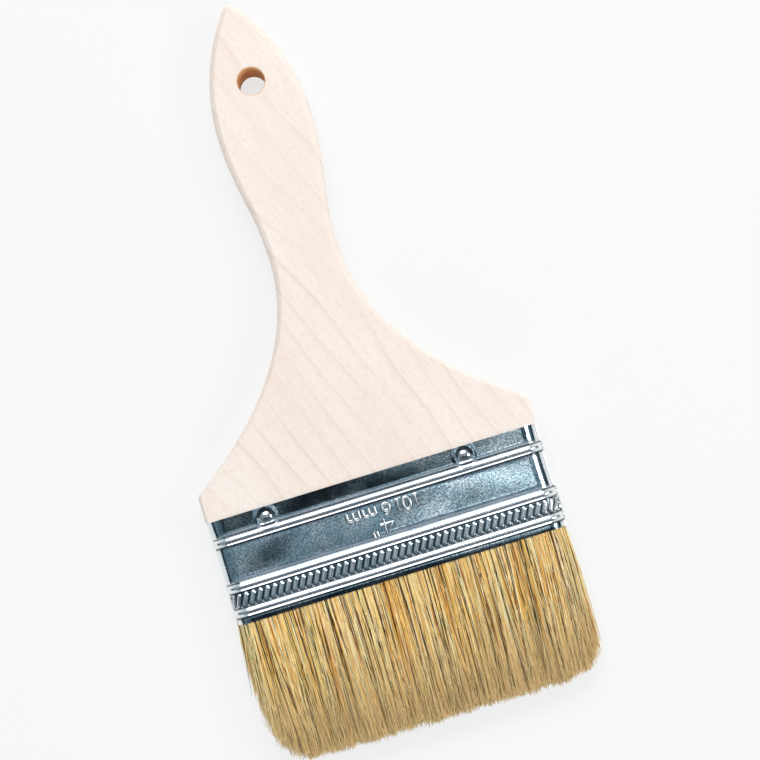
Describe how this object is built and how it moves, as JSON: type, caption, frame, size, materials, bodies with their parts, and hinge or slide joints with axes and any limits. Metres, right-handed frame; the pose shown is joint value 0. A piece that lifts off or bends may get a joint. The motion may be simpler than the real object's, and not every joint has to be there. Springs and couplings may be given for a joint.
{
  "type": "paint brush",
  "caption": "Flat natural-bristle paint brush with a pointed wooden handle, a hang hole and a beaded tinplate ferrule.",
  "frame": {"origin": "under the middle of the whole brush, on the surface it lies on", "axes": "+X across the brush to the right with the handle up, +Y along the brush to the handle's tip, +Z out of the front face"},
  "size_m": [0.1037, 0.2226, 0.012],
  "materials": {
    "handle_wood": "sanded bare hardwood",
    "tinplate": "bright tinplate",
    "nail_steel": "tinned steel",
    "setting_resin": "cured resin",
    "divider_wood": "sawn softwood",
    "bristle": "natural hog bristle"
  },
  "bodies": {
    "root": {"handle": "handle_wood", "ferrule": "tinplate", "nail_front_left": "nail_steel", "nail_front_right": "nail_steel", "nail_rear_left": "nail_steel", "nail_rear_right": "nail_steel", "setting_block": "setting_resin", "divider": "divider_wood", "bristle_front": "bristle", "bristle_rear": "bristle"}
  },
  "joints": []
}
